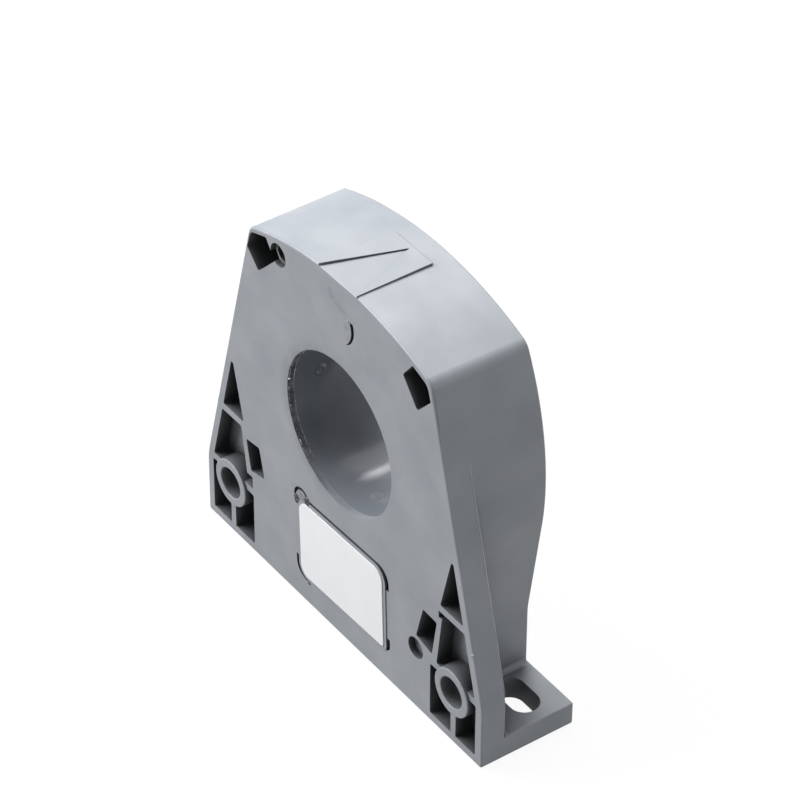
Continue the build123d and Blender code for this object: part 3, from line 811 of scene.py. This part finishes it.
# Painted highlight: the pale colour of the rim crumbs and of the flange's flash.
pale_highlight_flash = inner_plastic("pale_polyamide_painted_highlight", "#c6cacf", "#d6d9dc", rough=0.4, patch_mm=0.8,
                           height_mm=0.03)[0]
piece_from_grid("seam_flash", flash_bead_grid(SEAM_DEPTH, thin=0.02, swell=0.36, power=3, seed=3),
                glint_grey_flash, closed_rows=True)
piece_from_grid("rim_flash", flash_bead_grid(RIM_DEPTH, thin=0.01, swell=0.5, power=5, seed=9),
                pale_highlight_flash, closed_rows=True)

# %% [markdown]
# ## Blisters in the bore
# Two round marks stand on the wall of the bore, one high on the left and one low on the right. Each
# is a faint ring with a small swelling in it, like a blister over the end of a pin of the mould. The
# height is a sum of two bell curves of the distance from the middle, bent onto the bore.

# %% Blisters in the bore
PIP_ANGLES = (176.0, -82.0)
PIP_DEPTH, PIP_RADIUS, PIP_HEIGHT = 6.6, 1.55, 0.2
PIP_ROWS, PIP_COLUMNS = 28, 28
PIP_MIDDLE_HOLE = 0.02
RIDGE_AT, RIDGE_WIDE, MIDDLE_WIDE = 0.5, 0.25, 0.2
MIDDLE_SHARE = 0.7
SUNK_EDGE = 0.08


def pip_grid(angle_deg):
    """A low ridge round a lower middle, both bell curves of the distance; the edge sinks in."""
    turn = full_turn(PIP_COLUMNS)[None, :]
    share = np.linspace(1, PIP_MIDDLE_HOLE, PIP_ROWS)[:, None]
    aside = PIP_RADIUS * share * np.cos(turn) / WINDOW_RADIUS_MM
    along = FACE_Y / MM + PIP_DEPTH + PIP_RADIUS * share * np.sin(turn)
    ridge = np.exp(-((share - RIDGE_AT) / RIDGE_WIDE) ** 2)
    middle = MIDDLE_SHARE * np.exp(-((share / MIDDLE_WIDE) ** 2))
    radius = WINDOW_RADIUS_MM - PIP_HEIGHT * (ridge + middle) - BEDDED + SUNK_EDGE * share**6
    centre = WINDOW_AXIS.x / MM, WINDOW_AXIS.z / MM
    return around(radius, along, radians(angle_deg) + aside, centre)


for number, angle_deg in enumerate(PIP_ANGLES):
    piece_from_grid(f"bore_pip_{number}", pip_grid(angle_deg), cover_grey_shade_darkened,
                    closed_rows=False)

# %% [markdown]
# ## Gate stubs and crumbs
# The gate is where the melt flowed in. It was torn off beside the label and left two stubs; their
# near black is painted shade, for the dark pits of the torn gate. A small dark nib stands below the
# label, a lump at the crescent mark and a burr on the flange. All are low mounds with a rippled
# outline and a torn top.

# %% Gate stubs and crumbs
STUB_ROWS, STUB_COLUMNS = 14, 28
STUB_ROOT = 0.1
STUB_POWER = 2.2
STUB_TOP_RADIUS = 0.02


def stub_grid(x, z, radius, height, seed):
    """A low mound: rows go from its buried foot up to a torn, rippled top."""
    angle = full_turn(STUB_COLUMNS)[None, :]
    share = np.linspace(0, 1, STUB_ROWS)[:, None]
    edge = radius * (0.8 + 0.4 * ripple(angle, (2, 3, 5, 7), seed))
    torn = 0.55 + 0.45 * ripple(angle, (1, 3, 4, 9), seed + 1)
    reach = edge * (1 - share**STUB_POWER) + STUB_TOP_RADIUS
    along = FACE_Y / MM + STUB_ROOT - (height + STUB_ROOT) * share * torn
    return around(reach, along, angle, (x, z))


# Painted shade: the near black of the gate stubs; the nib below the label is drawn in it too.
near_black_stub = inner_plastic("near_black_polyamide", "#2b2d31", "#3a3c41", rough=0.4, patch_mm=0.6,
                         height_mm=0.05)[0]
TRACES = (
    ("gate_stub_left", -12.75, 21.75, 0.95, 0.50, near_black_stub),
    ("gate_stub_right", -9.65, 23.2, 0.90, 0.48, near_black_stub),
    ("label_nib", -9.3, 4.8, 0.3, 0.28, near_black_stub),
    ("crescent_lump", 3.2, 70.35, 0.5, 0.3, housing_grey),
    ("rim_burr", 38.15, 23.3, 0.42, 0.22, housing_grey),
)
for seed, (name, x, z, radius, height, finish) in enumerate(TRACES):
    piece_from_grid(name, stub_grid(x, z, radius, height, seed), finish,
                    closed_rows=False)

# %% [markdown]
# ## Flash on the flange
# The two halves of the mould part along the flange's rear edge, so a thread of flash runs up it on
# either side. Its pale colour is a painted highlight along that edge. It is a thin tube along the
# leaning edge, and its thickness ripples and fades out at both ends.

# %% Flash on the flange
FLANGE_DEPTH, FLANGE_EDGE_X, FLANGE_BEND_Z, FLANGE_LEAN = 4.9, 41.0, 13.0, 0.2577
THREAD_START, THREAD_LONG = 1, 44
THREAD_STEPS = 300
THREAD_THIN, THREAD_SWELL = 0.035, 0.05


def parting_grid(side):
    """The edge leans in by a fixed share of the height; a circle of rippling size runs along it."""
    share = np.linspace(0, 1, THREAD_STEPS)[:, None]
    z = FLANGE_BEND_Z + THREAD_START + share * THREAD_LONG
    x = side * (FLANGE_EDGE_X - FLANGE_LEAN * (z - FLANGE_BEND_Z) - BEDDED)
    uneven = ripple(share * TAU, (5, 11, 23, 41, 67), seed=8)
    size = (THREAD_THIN + THREAD_SWELL * uneven) * np.sin(share * pi) ** 0.3
    turn = full_turn(BEAD_COLUMNS)[None, :]
    along = FACE_Y / MM + FLANGE_DEPTH + size * np.sin(turn)
    return np.stack(np.broadcast_arrays(x + size * np.cos(turn), along, z), -1)


for name, side in (("parting_flash_left", -1), ("parting_flash_right", 1)):
    piece_from_grid(name, parting_grid(side), pale_highlight_flash, closed_rows=False)

# %% [markdown]
# ## Floor and backdrop
# The photograph is cut out on white. The floor glows white for the rays of the camera and of
# reflections, and a small share of lit paper in the mix keeps a faint shadow of the object. For all
# other rays the floor is a plain mid grey, so that the white doesn't light the object from below.
# The world works in the same way: white to look at, and a very weak fill.

# %% Floor and backdrop
FLOOR_HALF = 6.0
FLOOR_GAP_MM = 0.02
FLOOR_GLOW = 0.94
FLOOR_TONE, PAPER_TONE = "#8a8a8a", "#f4f4f4"
SKY_FILL = 0.03


def seen_directly(tree):
    """1 for the rays of the camera and of reflections, which see the white background, else 0."""
    rays = node(tree, "ShaderNodeLightPath").outputs
    mirrored = node(tree, "ShaderNodeMath", {"operation": "MAXIMUM"}, _0=rays["Is Glossy Ray"],
                    _1=rays["Is Transmission Ray"])
    return node(tree, "ShaderNodeMath", {"operation": "MAXIMUM"}, _0=rays["Is Camera Ray"],
                _1=mirrored.outputs[0]).outputs[0]


def sweep_paper():
    """Lit paper under a glow: the mix is by the share of the glow, for seen rays alone."""
    material, tree, output, _ = new_material("white_paper_sweep")
    seen = seen_directly(tree)
    tone = node(tree, "ShaderNodeMix", COLOUR_MIX, _0=seen, _6=hex_colour(FLOOR_TONE),
                _7=hex_colour(PAPER_TONE))
    paper = node(tree, "ShaderNodeBsdfDiffuse", {}, Color=tone.outputs[2])
    glow = node(tree, "ShaderNodeEmission", {}, Strength=1.0)
    share = node(tree, "ShaderNodeMath", {"operation": "MULTIPLY"}, _0=seen, _1=FLOOR_GLOW)
    mix = node(tree, "ShaderNodeMixShader", {}, _0=share.outputs[0], _1=paper.outputs[0],
               _2=glow.outputs[0])
    tree.links.new(mix.outputs[0], output.inputs["Surface"])
    return material


def floor_plane():
    """A square just under the foot, large enough to fill any view."""
    mesh = bpy.data.meshes.new("studio_floor")
    corners = [(x * FLOOR_HALF, y * FLOOR_HALF, 0) for x, y in ((-1, -1), (1, -1), (1, 1), (-1, 1))]
    mesh.from_pydata(corners, [], [(0, 1, 2, 3)])
    mesh.materials.append(sweep_paper())
    floor = bpy.data.objects.new("studio_floor", mesh)
    floor.location = (0, 0, cad_low.z - FLOOR_GAP_MM * MM)
    bpy.context.scene.collection.objects.link(floor)
    return floor


def studio_world():
    """An even sky that lights weakly but shows as white."""
    world = bpy.data.worlds.new("studio_sky")
    world.use_nodes = True
    tree = world.node_tree
    tree.nodes.clear()
    output = tree.nodes.new("ShaderNodeOutputWorld")
    strength = node(tree, "ShaderNodeMapRange", {}, Value=seen_directly(tree), To_Min=SKY_FILL,
                    To_Max=1.0)
    sky = node(tree, "ShaderNodeBackground", {}, Color=(1, 1, 1, 1), Strength=strength.outputs[0])
    tree.links.new(sky.outputs[0], output.inputs["Surface"])
    bpy.context.scene.world = world
    return world


print("stage:", floor_plane().name, studio_world().name)

# %% [markdown]
# ## Lamps
# Soft lamps light the object, the strongest from the front left and from high on the left, with a
# weak one low on the right. Their levels were matched to the tones of the photograph's top, face,
# side and window. A lamp's power grows with the square of its distance, so that its level at the
# object stays the same.

# %% Lamps
LAMP_DISTANCE = 1.2
LAMPS = (
    ("front_left_softbox", 45, 35, 0.6, 1.12),
    ("left_softbox", 90, 60, 1.0, 1.18),
    ("back_left_softbox", 135, 60, 0.3, 0.25),
    ("back_softbox", 180, 60, 0.5, 0.12),
    ("right_softbox", -90, 12, 0.8, 0.32),
)


def softbox(name, angle, height, size, level):
    """A square lamp: its angle is from the front towards the left, its power gives the light level."""
    angle, height = radians(angle), radians(height)
    toward = Vector((-sin(angle) * cos(height), -cos(angle) * cos(height), sin(height)))
    data = bpy.data.lights.new(name, "AREA")
    data.shape, data.size = "SQUARE", size
    data.energy = level * pi**2 * LAMP_DISTANCE**2
    lamp = bpy.data.objects.new(name, data)
    lamp.location = (cad_low + cad_high) / 2 + toward * LAMP_DISTANCE
    lamp.rotation_euler = (-toward).to_track_quat("-Z", "Y").to_euler()
    lamp.visible_camera = False
    bpy.context.scene.collection.objects.link(lamp)


for lamp in LAMPS:
    softbox(*lamp)
print("lamps:", len(LAMPS))

# %% [markdown]
# ## Finish
# The colours are shown through the Standard view, without a film curve.

# %% Finish
bpy.context.scene.view_settings.view_transform = "Standard"
